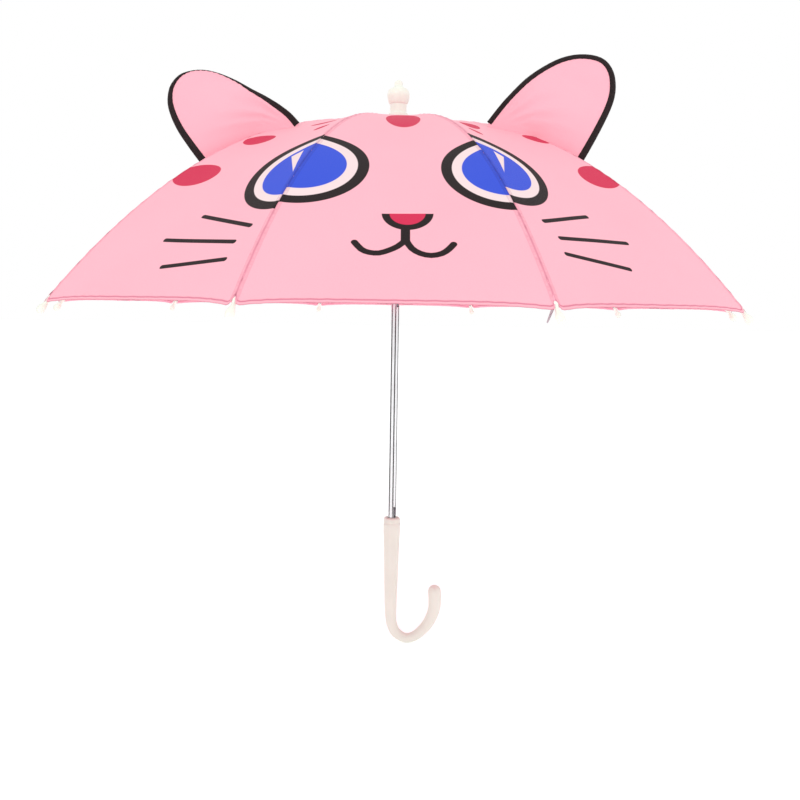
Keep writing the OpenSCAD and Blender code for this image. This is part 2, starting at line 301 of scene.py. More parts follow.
FRONT_PRINT = [
    oval("crimson", (0.0045, 0.137), (0.0155, 0.037)),
    oval("black", (-0.077, 0.259), (0.055, 0.055)),
    oval("white", (-0.077, 0.259), (0.046, 0.046)),
    oval("blue", (-0.076, 0.259), (0.0363, 0.0363)),
    oval("black", (0.0915, 0.2618), (0.0573, 0.0573)),
    oval("white", (0.0903, 0.2625), (0.0477, 0.0477)),
    oval("blue", (0.0883, 0.2630), (0.038, 0.038)),
    cup("black", (0.008, 0.3225), 0.019, 0.3230),
    cup("rose", (0.008, 0.3225), 0.0132, 0.3229),
    stroke("black", 0.0034, (0.0065, 0.341), (0.0065, 0.354)),
    brush("black", 0.0026, (-0.0295, 0.3555), (-0.0245, 0.3625), (-0.019, 0.3655), (-0.012, 0.366),
          (-0.005, 0.363), (0.001, 0.359), (0.0055, 0.354)),
    brush("black", 0.0026, (0.0075, 0.354), (0.011, 0.361), (0.017, 0.3660), (0.0245, 0.368),
          (0.032, 0.366), (0.037, 0.3615), (0.0405, 0.3565)),
]
RIGHT_PRINT = [
    oval("crimson", (0.0435, 0.1705), (0.0135, 0.0105), 35),
    oval("crimson", (0.058, 0.249), (0.025, 0.0185), -20),
    oval("crimson", (-0.0155, 0.142), (0.022, 0.0100), 122),
    oval("crimson", (-0.0345, 0.1765), (0.0085, 0.0038), 75),
    oval("black", (-0.0755, 0.2513), (0.0525, 0.0598)),
    oval("white", (-0.0735, 0.2523), (0.0425, 0.0488)),
    oval("blue", (-0.0715, 0.2530), (0.0340, 0.0385)),
    patch("white", (-0.052, 0.228), (-0.067, 0.266), (-0.047, 0.237)),
    whisker((-0.067, 0.328), (-0.011, 0.316)),
    whisker((-0.062, 0.346), (0.014, 0.345)),
    whisker((-0.067, 0.363), (-0.006, 0.375)),
]
LEFT_PRINT = [
    oval("crimson", (-0.0315, 0.186), (0.0182, 0.0128), 5),
    oval("crimson", (-0.050, 0.257), (0.027, 0.018), 5),
    oval("crimson", (0.0165, 0.147), (0.013, 0.0062), -20),
    oval("crimson", (0.0325, 0.172), (0.0085, 0.0038), -70),
    oval("black", (0.084, 0.2595), (0.0565, 0.062)),
    oval("white", (0.0835, 0.2600), (0.0475, 0.052)),
    oval("blue", (0.083, 0.261), (0.0394, 0.043)),
    patch("white", (0.0585, 0.234), (0.0515, 0.243), (0.074, 0.272)),
    whisker((0.076, 0.339), (0.013, 0.323)),
    whisker((0.071, 0.356), (-0.010, 0.350)),
    whisker((0.074, 0.374), (0.010, 0.380)),
]
SPOT_PRINT = [
    oval("crimson", (0.020, 0.292), (0.024, 0.016), 15),
    oval("crimson", (-0.012, 0.176), (0.015, 0.010), -25),
]

# Gore 9 is the front one, 0 lies to the viewer's right of it and 8 to the left
GORE_PRINT = {9: "front", 0: "right", 8: "left", 2: "spots", 4: "spots", 6: "spots"}
PRINTS = {"front": FRONT_PRINT, "right": RIGHT_PRINT, "left": LEFT_PRINT, "spots": SPOT_PRINT, "plain": []}


def segment_distance(n, place, start, end, radius):
    """Signed distance from the place to a round-ended segment."""
    along = (end[0] - start[0], end[1] - start[1], 0)
    long2 = along[0] ** 2 + along[1] ** 2
    away = n.vector("SUBTRACT", place, (start[0], start[1], 0))
    share = n.vector("DOT_PRODUCT", away, (along[0] / long2, along[1] / long2, 0))
    share = n.math("ADD", share, 0.0, clamp=True)
    gap = n.vector("LENGTH", n.vector("SUBTRACT", away, n.scaled(along, share)))
    return n.math("SUBTRACT", gap, radius)


def shape_distance(n, place, shape):
    """Signed distance, in metres, from the place on the gore to one printed shape: negative inside."""
    kind = shape[0]
    if kind == "oval":
        (cx, cy), (rx, ry), angle = shape[2:]
        away = n.vector("SUBTRACT", place, (cx, cy, 0))
        x = n.vector("DOT_PRODUCT", away, (math.cos(angle) / rx, math.sin(angle) / rx, 0))
        y = n.vector("DOT_PRODUCT", away, (-math.sin(angle) / ry, math.cos(angle) / ry, 0))
        size = n.vector("LENGTH", n.join(x, y))
        return n.math("MULTIPLY", n.math("SUBTRACT", size, 1.0), min(rx, ry))
    if kind == "cup":
        (cx, cy), radius, brim = shape[2:]
        disc = n.math("SUBTRACT", n.vector("LENGTH", n.vector("SUBTRACT", place, (cx, cy, 0))), radius)
        above = n.math("SUBTRACT", brim, n.split(place)[1])
        return n.math("MAXIMUM", disc, above)
    if kind == "stroke":
        radius, points = shape[2:]
        nearest = None
        for start, end in zip(points, points[1:]):
            gap = segment_distance(n, place, start, end, radius)
            nearest = gap if nearest is None else n.math("MINIMUM", nearest, gap)
        return nearest
    corners = shape[2]
    furthest = None
    for start, end in zip(corners, corners[1:] + corners[:1]):
        out = unit((end[1] - start[1], start[0] - end[0]))
        offset = out[0] * start[0] + out[1] * start[1]
        gap = n.vector("DOT_PRODUCT", place, (-out[0], -out[1], 0))
        gap = n.math("ADD", gap, offset)
        furthest = gap if furthest is None else n.math("MAXIMUM", furthest, gap)
    return furthest


def printed(n, place, base, shapes, strength=1.0):
    """The base colour with every shape of the print laid over it."""
    colour = base
    for shape in shapes:
        gap = shape_distance(n, place, shape)
        share = n.ramp(gap, -EDGE_BLUR, EDGE_BLUR, strength, 0.0)
        colour = n.mix(share, colour, INK[shape[1]])
    return colour


def weave_height(n, place):
    """Height of a plain weave whose threads run along u and v."""
    u, v, _ = n.split(place)
    return n.math("MULTIPLY", n.wave(u, THREAD_PITCH), n.wave(v, THREAD_PITCH))


def cloth_material(name, shapes, inside=False):
    """Printed plain weave. The mesh gives u and v in gore, and the distances to seam and hem in sewing."""
    n = Nodes(name)
    place = n.attribute("gore")
    sewing = n.split(n.attribute("sewing"))
    mottle = n.noise(place, 9.0, 3.0)
    threads = n.noise(place, 900.0, 1.0)
    base = INSIDE_PINK if inside else PINK
    darker = tuple(c * k for c, k in zip(base, (0.93, 0.80, 0.84))) + (1.0,)
    share = n.ramp(mottle, 0.35, 0.75, 0.0, 0.22)
    pink = n.mix(share, base, darker)
    pink = n.mix(n.ramp(threads, 0.4, 0.7, 0.0, 0.16), pink, darker)
    colour = printed(n, place, pink, shapes, 0.30 if inside else 1.0)
    # Shade collects in the seam's groove and along the hem's row of stitches
    seam_shade = n.ramp(sewing[0], 0.0003, 0.0018, 0.62, 0.0)
    hem_line = n.math("ABSOLUTE", n.math("SUBTRACT", sewing[1], HEM_BAND))
    hem_shade = n.ramp(hem_line, 0.0003, 0.0011, 0.85, 0.0)
    shade = n.math("MAXIMUM", seam_shade, hem_shade)
    # The allowances under the seam show as a darker, wrinkled band with a stitched edge: its streaky
    # darkening and the dark stitch line are painted shade
    streak = n.noise(n.vector("MULTIPLY", place, (0.3, 1, 1)), 420.0, 2.0)
    band_edge = n.ramp(sewing[0], SEAM_BAND - 0.0003, SEAM_BAND + 0.0003, 1.0, 0.0)
    band_shade = n.math("MULTIPLY", band_edge, n.ramp(streak, 0.35, 0.65, 0.08, 0.38))
    stitch_line = n.math("ABSOLUTE", n.math("SUBTRACT", sewing[0], SEAM_BAND))
    stitch_shade = n.ramp(stitch_line, 0.0002, 0.0007, 0.30, 0.0)
    # Painted shade along the hem's very edge
    edge_shade = n.ramp(sewing[1], 0.0004, 0.0011, 0.45, 0.0)
    for extra in (band_shade, stitch_shade, edge_shade):
        shade = n.math("MAXIMUM", shade, extra)
    n.set(Base_Color=n.mix(shade, colour, (0.66, 0.36, 0.48, 1.0), "MULTIPLY"))
    n.set(Roughness=n.ramp(threads, 0.3, 0.7, 0.62, 0.76))
    n.set(Specular_IOR_Level=0.15, Sheen_Weight=0.04, Sheen_Roughness=0.5)
    height = n.math("ADD", weave_height(n, place), n.math("MULTIPLY", threads, 0.8))
    n.bump(height, 0.00006, 0.5)
    return n.material


# ---------------- canopy surface
def arc_height(r):
    return RIM_Z + (APEX_Z - RIM_Z) * (1 - (r / RIM_R) ** ARC_POWER)


def arc_slope(r):
    return -(APEX_Z - RIM_Z) * ARC_POWER / RIM_R * (r / RIM_R) ** (ARC_POWER - 1)


ARC_R = np.linspace(0, 1.02 * RIM_R, 1429)
ARC_V = np.concatenate([[0], np.cumsum(np.hypot(np.diff(ARC_R), np.diff(arc_height(ARC_R))))])


def arc_length(rho):
    return np.interp(rho, ARC_R, ARC_V)


def hem_radius(w):
    """The hem runs in a shallow scoop from rib to rib, and is cut back where a tip is sewn on."""
    edge = RIM_R * math.sin(HALF_GORE) * (1 - np.abs(w))
    notch = CORNER_NOTCH * np.exp(-((edge / NOTCH_HALF) ** 2))
    return RIM_R + HEM_REACH - HEM_CUT * (1 - np.abs(w) ** 5) - notch


def gore_place(rho, w, depth):
    """A point of a gore: its distance out along the middle line, its distance to the side, its height."""
    slope = arc_slope(rho)
    share = rho / RIM_R
    taut_ends = np.minimum(1, np.minimum(4 * (1 - share), 3 * share))
    sag = GORE_SAG * np.maximum(0, 1 - w * w) * taut_ends
    down = (depth + sag) / np.hypot(1, slope)
    r = rho + slope * down
    return np.stack([r * math.cos(HALF_GORE), w * r * math.sin(HALF_GORE), arc_height(rho) - down], -1)


def turned(points, azimuth):
    """Points given as (out, side, up) at an azimuth, in the row frame."""
    out, side, up = points[..., 0], points[..., 1], points[..., 2]
    c, s = math.cos(azimuth), math.sin(azimuth)
    return np.stack([out * c - side * s, out * s + side * c, up], -1)


def cloth_relief(rho, w, gore):
    """How far seams, puckers and slack raise the cloth of a gore over its plain surface."""
    v = arc_length(rho)
    half = rho * math.sin(HALF_GORE)
    u = w * half
    edge = half * np.clip(1 - np.abs(w), 0, 1)
    hem = arc_length(hem_radius(w)) - v
    open_width = smooth(half / 0.02)
    # Beside a seam: its groove, the band of its allowances, and puckers that fade with distance
    groove = -0.00030 * np.exp(-((edge / 0.0009) ** 2))
    band = smooth(edge / 0.0008) * smooth((SEAM_BAND - edge) / 0.0007)
    band = band * (0.00018 + 0.00008 * np.sin(v / 0.0011 + 2.5 * np.sin(v / 0.009)))
    pucker = 0.00024 * np.exp(-edge / 0.009) * np.sin(v / 0.0021 + 2.2 * np.sin(v / 0.031 + gore))
    # Along the hem: its row of stitches, and the puckers they draw
    stitched = -0.00022 * np.exp(-(((hem - HEM_BAND) / 0.0008) ** 2))
    hem_pucker = 0.00028 * np.exp(-np.abs(hem - HEM_BAND) / 0.006)
    hem_pucker = hem_pucker * np.sin(u / 0.0018 + 2.0 * np.sin(u / 0.023 + 1.7 * gore))
    # Long shallow waves where the cloth is slack, which end at the ribs
    slack = 0.0007 * np.sin(math.pi * np.clip(rho / RIM_R, 0, 1)) * (1 - w * w)
    slack = slack * np.sin(u / 0.017 + 1.3 * gore) * np.sin(v / 0.071 + gore)
    return open_width * (groove + band + pucker + slack) + stitched + hem_pucker


def elbow_split(w, side):
    """The gore's rho where its cloth crosses the plane that halves a rib's bend at its elbow."""
    crown, elbow = rib_joints(0)
    elbow_r = math.hypot(elbow[0], elbow[1])
    rise = (crown[2] - elbow[2]) / (elbow_r - math.hypot(crown[0], crown[1]))
    fall = (elbow[2] - RIM_Z) / (RIB_END_R - elbow_r)
    tilt = (math.atan(rise) + math.atan(fall)) / 2
    low, high = np.full_like(w, 0.1), np.full_like(w, 0.3)
    for _ in range(30):
        rho = (low + high) / 2
        place = turned(gore_place(rho, w, CLOTH_DEPTH), side * HALF_GORE)
        ahead = (place[..., 0] - elbow_r) * math.cos(tilt) - (place[..., 2] - elbow[2]) * math.sin(tilt)
        high = np.where(ahead > 0, rho, high)
        low = np.where(ahead > 0, low, rho)
    return (low + high) / 2


def sheet_mesh(name, outer, inner, normals, materials, gore, sewing):
    """A closed thin sheet from two grids of points. Its own normals make neighbouring sheets join unseen."""
    rows, cols = outer.shape[:2]
    count = rows * cols
    index = np.arange(count).reshape(rows, cols)
    a, b = index[:-1, :-1].ravel(), index[:-1, 1:].ravel()
    c, d = index[1:, 1:].ravel(), index[1:, :-1].ravel()
    top = np.stack([a, d, c, b], 1)
    rim = np.concatenate([index[0, :], index[1:, -1], index[-1, -2::-1], index[-2::-1, 0]])
    wall = np.stack([rim[:-1], rim[1:], rim[1:] + count, rim[:-1] + count], 1)
    facing = np.cross(outer[1, 0] - outer[0, 0], outer[0, 1] - outer[0, 0]) @ normals[0, 0]
    if facing < 0:
        top = top[:, ::-1]
    else:
        wall = wall[:, ::-1]
    faces = np.concatenate([top, top[:, ::-1] + count, wall[:, ::-1]])
    kinds = [0] * len(top) + [1] * len(top) + [0] * len(wall)  # the second material is the inner face's
    points = np.concatenate([outer.reshape(-1, 3), inner.reshape(-1, 3)])
    obj = new_object(name, points, faces, materials, kinds)
    for key, values in (("gore", gore), ("sewing", sewing)):
        flat = np.broadcast_to(values, outer.shape).reshape(-1, 3)
        attribute = obj.data.attributes.new(key, "FLOAT_VECTOR", "POINT")
        attribute.data.foreach_set("vector", np.concatenate([flat, flat]).astype(np.float32).ravel())
    shading = np.concatenate([normals.reshape(-1, 3), -normals.reshape(-1, 3)])
    obj.data.normals_split_custom_set_from_vertices(shading.tolist())
    return obj


def grid_normals(points):
    """Normals of a grid of points, all on its upper side."""
    normal = unit(np.cross(np.gradient(points, axis=0), np.gradient(points, axis=1)))
    return normal * np.sign(normal[..., 2:3])


COLUMNS = 24  # from the seam to the gore's middle line
UPPER_ROWS = 36
LOWER_ROWS = 34
HEM_ROWS = 12
HEM_SHARE = 0.08  # the part of a lower piece's length that the hem rows take
LAP_STEPS = np.array([0.04, 0.13, 0.45, 1.0])
UNSEWN = (NO_SEAM, NO_SEAM, 0)


def half_gore_grid(side, part):
    """rho, w and lap share over one side of a rib: across from the seam to past the gore's middle."""
    across = np.linspace(0, 1, COLUMNS) ** 1.5
    share = np.concatenate([across, np.ones(len(LAP_STEPS))])
    past = np.concatenate([np.zeros(COLUMNS), LAP_STEPS])
    w_of_split = np.where(past > 0, 0.0, -side * (1 - share))
    split = elbow_split(w_of_split, side)
    if part == "upper":
        steps = np.linspace(0, 1, UPPER_ROWS)[:, None]
        rho = TOP_HOLE + (split - TOP_HOLE) * steps
        rho = np.concatenate([rho, split + ELBOW_LAP * LAP_STEPS[:, None]])
        lap_rows = np.concatenate([np.zeros(UPPER_ROWS), LAP_STEPS])
    else:
        main = np.linspace(0, 1 - HEM_SHARE, LOWER_ROWS)
        hem = 1 - HEM_SHARE + HEM_SHARE * np.linspace(0.1, 1, HEM_ROWS)
        to_hem = np.concatenate([main, hem])[:, None]
        rho = split + (hem_radius(w_of_split) - split) * to_hem
        rho = np.concatenate([split - ELBOW_LAP * LAP_STEPS[::-1, None], rho])
        lap_rows = np.concatenate([LAP_STEPS[::-1], np.zeros(len(to_hem))])
    half = rho * math.sin(HALF_GORE)
    lap = np.maximum(LEAST_LAP, MIDDLE_LAP * np.minimum(1, half / FULL_LAP_HALF))
    w = -side * (1 - share) + side * past * lap / half
    return rho, w, np.maximum(past[None, :], lap_rows[:, None])


def rib_joints(rib):
    """A rib's hinge at the crown, and its elbow."""
    return [np.array(JOINTS[f"{kind}_{rib}"]["pos_m"]) for kind in ("rib_hinge", "rib_flex")]


def half_gore(rib, side, part, materials):
    """The cloth on one side of a rib, above its elbow or below it."""
    gore = rib if side > 0 else (rib - 1) % RIBS
    azimuth = rib_azimuth(rib) + side * HALF_GORE
    rho, w, lap = half_gore_grid(side, part)
    relief = cloth_relief(rho, w, gore)
    dive = LAP_DIVE * (1 - np.exp(-5 * lap))
    depth = CLOTH_DEPTH - relief
    plain, outer, inner = (turned(gore_place(rho, w, d), azimuth)
                           for d in (depth, depth + dive, depth + dive + CLOTH_T))
    half = rho * math.sin(HALF_GORE)
    v = arc_length(rho)
    flat = grid(w * half, v)
    sewing = grid(half * (1 - np.abs(w)), arc_length(hem_radius(w)) - v)
    name = f"canopy_{part}_{rib}_{'a' if side > 0 else 'b'}"
    piece = sheet_mesh(name, outer, inner, grid_normals(plain), materials[gore], flat, sewing)
    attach(piece, f"rib_{rib}" if part == "upper" else f"rib_end_{rib}")
    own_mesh(piece)
    return piece


def seam_tape(rib, part, material):
    """The folded seam allowance inside the canopy, over a rib."""
    across = np.array([-1, -0.93, -0.5, -0.08, 0, 0.08, 0.5, 0.93, 1.0]) * TAPE_HALF
    split = float(elbow_split(np.array([-1.0]), 1)[0])
    ends = (2 * TOP_HOLE, split) if part == "upper" else (split, RIM_R - TAPE_HALF)
    rho = np.linspace(*ends, 60)[:, None] * np.ones((1, len(across)))
    half = rho * math.sin(HALF_GORE)
    reach = np.abs(across) * np.minimum(1, half / (2 * TAPE_HALF))
    w = 1 - reach / half
    depth = TAPE_DEPTH + 0.00008 * np.sin(rho / 0.0016) * smooth(np.abs(across) / TAPE_HALF)

    def both_sides(extra):
        places = gore_place(rho, w, depth + extra)
        right = turned(places * np.array([1, -1, 1]), rib_azimuth(rib) + HALF_GORE)
        left = turned(places, rib_azimuth(rib) - HALF_GORE)
        return np.where((across > 0)[None, :, None], right, left)

    outer = both_sides(0.0)
    inner = both_sides(TAPE_T)
    flat = grid(across, arc_length(rho))
    sewing = grid(TAPE_HALF - np.abs(flat[..., 0]) + 0.0005, NO_SEAM)
    piece = sheet_mesh(f"seam_{part}_{rib}", outer, inner, grid_normals(outer), [material] * 2, flat, sewing)
    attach(piece, f"rib_{rib}" if part == "upper" else f"rib_end_{rib}")


def top_cap(material):
    """The small pinked patch of cloth under the ferrule."""
    teeth = 72
    tooth_depth = 0.0007
    rise, droop = 0.00075, 0.0004
    rings = np.array([0.0048, 0.008, 0.011, 0.0135, 0.0155, 0.0168])
    turns = np.linspace(0, 2 * math.pi, teeth + 1)
    radius = rings[:, None] * np.ones((1, teeth + 1))
    radius[-1] -= tooth_depth * (np.arange(teeth + 1) % 2)
    height = arc_height(radius) + rise - droop * (radius / rings[-1]) ** 2
    outer = np.stack([radius * np.cos(turns), radius * np.sin(turns), height], -1)
    inner = outer - np.array([0, 0, 0.0003])
    flat = grid(outer[..., 0], outer[..., 1])
    piece = sheet_mesh("top_cap", outer, inner, grid_normals(outer), [material] * 2, flat, UNSEWN)
    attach(piece, "frame")
    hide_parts("rosette")


def make_canopy():
    outside = {key: cloth_material(f"cloth_{key}", shapes) for key, shapes in PRINTS.items()}
    inside = {key: cloth_material(f"lining_{key}", shapes, inside=True) for key, shapes in PRINTS.items()}
    keys = [GORE_PRINT.get(gore, "plain") for gore in range(RIBS)]
    materials = [[outside[key], inside[key]] for key in keys]
    first = None
    for rib in range(RIBS):
        for part in ("upper", "lower"):
            for side in (1, -1):
                piece = half_gore(rib, side, part, materials)
                first = first or piece
            seam_tape(rib, part, inside["plain"])
    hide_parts("canopy")
    top_cap(outside["plain"])


# ---------------- ears
EAR_Y = 0.092  # how far in front of the shaft the ears stand
# Each ear's outline from its inner foot to its outer one: distance to the side, and height
RIGHT_EAR = [(0.084, 0.5235), (0.0955, 0.5385), (0.107, 0.5515), (0.121, 0.565), (0.137, 0.5765),
             (0.152, 0.584), (0.167, 0.5875), (0.182, 0.587), (0.193, 0.5825), (0.200, 0.573),
             (0.2025, 0.561), (0.2015, 0.548), (0.1965, 0.5335), (0.187, 0.514), (0.1735, 0.489)]
LEFT_EAR = [(0.093, 0.520), (0.103, 0.530), (0.120, 0.541), (0.138, 0.550), (0.153, 0.5585), (0.168, 0.565),
            (0.182, 0.568), (0.195, 0.567), (0.206, 0.562), (0.2135, 0.552), (0.2155, 0.539), (0.213, 0.527),
            (0.206, 0.512), (0.196, 0.4975), (0.1835, 0.481)]
# How wide the binding shows in front, from the inner foot to the outer one
RIGHT_TAPE = [0.0040, 0.0038, 0.0037, 0.0036, 0.0042, 0.0050, 0.0053, 0.0060]
LEFT_TAPE = [0.0054, 0.0044, 0.0012, 0.0002, 0.0004, 0.0030, 0.0048, 0.0056, 0.0062]
EAR_T = 0.0014
EAR_ROWS = 26
EAR_FULLEST = 0.012  # from halfway between the feet, outwards, to where the ear bulges most
FOOT_DEPTH = 0.0012  # of an ear's foot under the canopy's plain surface
EAR_TOP = 0.072  # height of an ear's top over the canopy
BACK_FLANGE = 0.0048  # of the binding behind the ear


def cover_height(x, y):
    """Height of the canopy's cloth over the point x, y."""
    azimuth = np.arctan2(y, x)
    gore = np.floor((azimuth - FIRST_RIB) / (2 * HALF_GORE))
    middle = FIRST_RIB + HALF_GORE * (2 * gore + 1)
    off = azimuth - middle
    rho = np.hypot(x, y) * np.cos(off) / math.cos(HALF_GORE)
    w = np.tan(off) / math.tan(HALF_GORE)
    return gore_place(rho, w, 0.0)[..., 2]


def ear_bow(x, height, middle):
    """How far the ear's cloth leans out of its plane: fullest at the middle, creased from its inner foot."""
    across = np.clip((x - middle) / 0.055, -1, 1)
    up = np.clip(height / EAR_TOP, 0, 1)
    full = 0.0050 * (1 - across ** 2) * np.sin(math.pi * up ** 0.8)
    from_foot = x - (middle - 0.052)
    turn = np.arctan2(height, from_foot)
    reach = np.hypot(from_foot, height)
    held = smooth((reach - 0.012) / 0.02) * smooth((0.095 - reach) / 0.05) * smooth(up / 0.15)
    creases = 0.0008 * np.sin(34 * turn + 3 * np.sin(4 * turn)) * smooth((turn - 0.15) / 0.2) * held
    return full + creases


def make_ear(side, outline, tape_widths, rib, cloth, black):
    """side is 1 for the ear at +X and -1 for the one at -X."""
    word = "right" if side > 0 else "left"
    edge = spline(outline, 8)
    share = np.linspace(0, 1, len(edge))
    width = np.interp(share, np.linspace(0, 1, len(tape_widths)), tape_widths)
    middle = (outline[0][0] + outline[-1][0]) / 2 + EAR_FULLEST
    foot_x = edge[0, 0] + (edge[-1, 0] - edge[0, 0]) * smooth(share * 0.9 + 0.05)
    foot_x[0], foot_x[-1] = edge[0, 0], edge[-1, 0]
    foot_z = cover_height(foot_x, -EAR_Y) - FOOT_DEPTH
    foot = np.stack([foot_x, foot_z], -1)
    # The cloth ends a little inside the outline, within the binding's fold
    inset = np.minimum(0.0009, 0.0003 + width / 3)[:, None]
    rim = edge + inset * unit(foot.mean(0) - edge)
    rows = np.linspace(0, 1, EAR_ROWS)[:, None, None]
    flat = foot + (rim - foot) * rows
    raised = flat[..., 1] - cover_height(flat[..., 0], -EAR_Y)
    bow = ear_bow(flat[..., 0], raised, middle)
    body = np.stack([side * flat[..., 0], -EAR_Y - bow, flat[..., 1]], -1)
    half_t = np.array([0, EAR_T / 2, 0])
    front, back = body - half_t, body + half_t
    normals = unit(np.cross(np.gradient(front, axis=0), np.gradient(front, axis=1)))
    normals = normals * np.where(normals[..., 1:2] > 0, -1.0, 1.0)
    gore = grid(flat[..., 0], flat[..., 1])
    panel = sheet_mesh(f"ear_panel_{word}", front, back, normals, [cloth] * 2, gore, UNSEWN)
    tape = make_binding(side, edge, width, middle, word, black)
    for piece, node in ((panel, f"ear_{word}"), (tape, f"ear_binding_{word}")):
        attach(piece, f"rib_{rib}")
        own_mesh(piece)
        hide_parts(node)


def make_binding(side, edge, width, middle, word, black):
    """A tape folded over the ear's edge: front and back flanges with a round fold between them."""
    tangent = unit(np.gradient(edge, axis=0))
    inward = np.stack([tangent[:, 1], -tangent[:, 0]], -1)
    if ((edge.mean(0) - edge) * inward).sum() < 0:
        inward = -inward
    thick = EAR_T / 2
    # Across each flange, from its loose edge to the fold: share of its width, and rise off the ear
    flange = ((1.0, 0.0001), (0.93, 0.0005), (0.5, 0.0006), (0.1, 0.0005))
    rings = []
    for k, (place, inner) in enumerate(zip(edge, inward)):
        # Distance in from the edge, and distance in front of the ear's middle surface
        profile = [(width[k] * share, thick + rise) for share, rise in flange]
        fold = min(1.0, 0.25 + width[k] / 0.002)
        profile += [(-0.0005 * fold, thick * 0.55), (-0.0008 * fold, 0.0), (-0.0005 * fold, -thick * 0.55)]
        profile += [(BACK_FLANGE * share, -thick - rise) for share, rise in flange[::-1]]
        ring = []
        for inset, ahead in profile:
            x, z = place + inner * inset
            bow = ear_bow(x, z - cover_height(x, -EAR_Y), middle)
            ripple = 0.00012 * math.sin(k * 2.1 + inset * 900)
            ring.append((side * x, -EAR_Y - bow - ahead - ripple, z))
        rings.append(ring)
    faces = tube_faces(len(rings), len(rings[0]))
    if side > 0:
        faces = [f[::-1] for f in faces]
    return new_object(f"ear_tape_{word}", np.concatenate(rings), faces, [black])


# ---------------- strap, handle, ferrule
STRAP_ASIDE = -0.0065  # from over rib 0 to the strap's middle line
STRAP_HALF = 0.006
STRAP_T = 0.0008
STRAP_ENDS = (0.110, 0.006)  # from the rim in
STRAP_DROP = 0.0075  # of the strap under the canopy's arc
STRAP_WAVE = 0.0006
LOOP_ROD = 0.00045  # radius of the elastic
LOOP_HALF = 0.0008
LOOP_LEAN = 0.20


def make_strap(cloth, elastic):
    """The tie strap lies beside rib 0 under the canopy, and its elastic loop hangs out below the hem."""
    azimuth = rib_azimuth(0)
    rho = np.linspace(RIM_R - STRAP_ENDS[0], RIM_R - STRAP_ENDS[1], 40)[:, None]
    across = np.linspace(-1, 1, 9)[None, :] * STRAP_HALF
    down = (STRAP_DROP + STRAP_WAVE * np.sin(rho / 0.009)) / np.hypot(1, arc_slope(rho))
    place = rho + arc_slope(rho) * down, STRAP_ASIDE + across, arc_height(rho) - down
    face = turned(np.stack(np.broadcast_arrays(*place), -1), azimuth)
    normals = grid_normals(face)
    gore = grid(across, arc_length(rho))
    sewing = grid(STRAP_HALF - np.abs(gore[..., 0]) + 0.0004, NO_SEAM)
    strap = sheet_mesh("strap", face, face - normals * STRAP_T, normals, [cloth] * 2, gore, sewing)
    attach(strap, "rib_end_0")
    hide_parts("tie_strap")
    make_loop(azimuth, elastic)


def make_loop(azimuth, elastic):
    """A long narrow loop, a little wider at its upper end, which leans along the hem."""
    low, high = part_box("tie_loop")
    at = turned(np.array([RIM_R - 0.0095, STRAP_ASIDE + 0.0065, 0.0]), azimuth)
    tangent = tangent_at(azimuth)
    radial = np.array([math.cos(azimuth), math.sin(azimuth), 0])
    long = high[2] - low[2] + 0.003
    points = []
    for a in np.linspace(0, 2 * math.pi, 49)[:-1]:
        aside = LOOP_HALF * math.sin(a) * (0.75 + 0.25 * math.cos(a)) + LOOP_LEAN * math.cos(a) * long
        height = low[2] + long / 2 + math.cos(a) * (long / 2 - 0.0006)
        points.append(at + tangent * aside + np.array([0, 0, height]))
    rings = []
    for k, place in enumerate(points):
        along = points[(k + 1) % len(points)] - points[k - 1]
        rings.append(circle(place, LOOP_ROD, radial, unit(np.cross(along, radial)), 8))
    loop = new_tube("strap_loop", rings, elastic, closed=True)
    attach(loop, "rib_end_0")
    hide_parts("tie_loop")


def make_handle(plastic):
    """One moulded bar from the shaft's collar round to the hook's end."""
    # Height and radius, from the top: a collar, a fine groove, and a slow taper
    grip = [(0.1180, 0.0043), (0.1288, 0.0043), (0.1298, 0.0048), (0.1300, 0.0062), (0.1299, 0.0075),
            (0.1293, 0.0082), (0.1283, 0.0084), (0.1262, 0.0085), (0.1256, 0.0085), (0.1252, 0.0083),
            (0.1247, 0.0083), (0.1242, 0.0086), (0.1234, 0.0088), (0.1222, 0.0088), (0.1165, 0.0087),
            (0.1080, 0.0083), (0.0950, 0.0079), (0.0800, 0.0075), (0.0650, 0.0071), (0.0520, 0.0067)]
    # Distance to the side, height and radius along the hook, up to its blunt end
    hook = [(0.0, 0.0430, 0.0064), (0.0002, 0.0350, 0.0061), (0.0004, 0.0270, 0.0058),
            (0.0017, 0.0185, 0.0055), (0.0062, 0.0100, 0.0052), (0.0152, 0.0049, 0.0048),
            (0.0235, 0.0060, 0.0049), (0.0308, 0.0108, 0.0052), (0.0382, 0.0190, 0.0056),
            (0.0430, 0.0280, 0.0060), (0.0455, 0.0365, 0.0064), (0.0460, 0.0450, 0.0067),
            (0.0455, 0.0535, 0.0067)]
    path = [(0, z, r) for z, r in grip] + [tuple(p) for p in spline(hook, 5)]
    end_x, end_z, end_r = hook[-1]
    for k in range(1, 11):
        a = math.pi / 2 * k / 10.4
        path.append((end_x, end_z + end_r * math.sin(a), end_r * math.cos(a)))
    middle = np.array([(x, 0, z) for x, z, _ in path], float)
    rings = []
    for place, ahead, (_, _, radius) in zip(middle, unit(np.gradient(middle, axis=0)), path):
        right = np.array([ahead[2], 0, -ahead[0]])
        rings.append(circle(place, radius, right, Y_AXIS, 40))
    handle = new_tube("handle_grip", rings, plastic)
    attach(handle, "frame")
    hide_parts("handle")


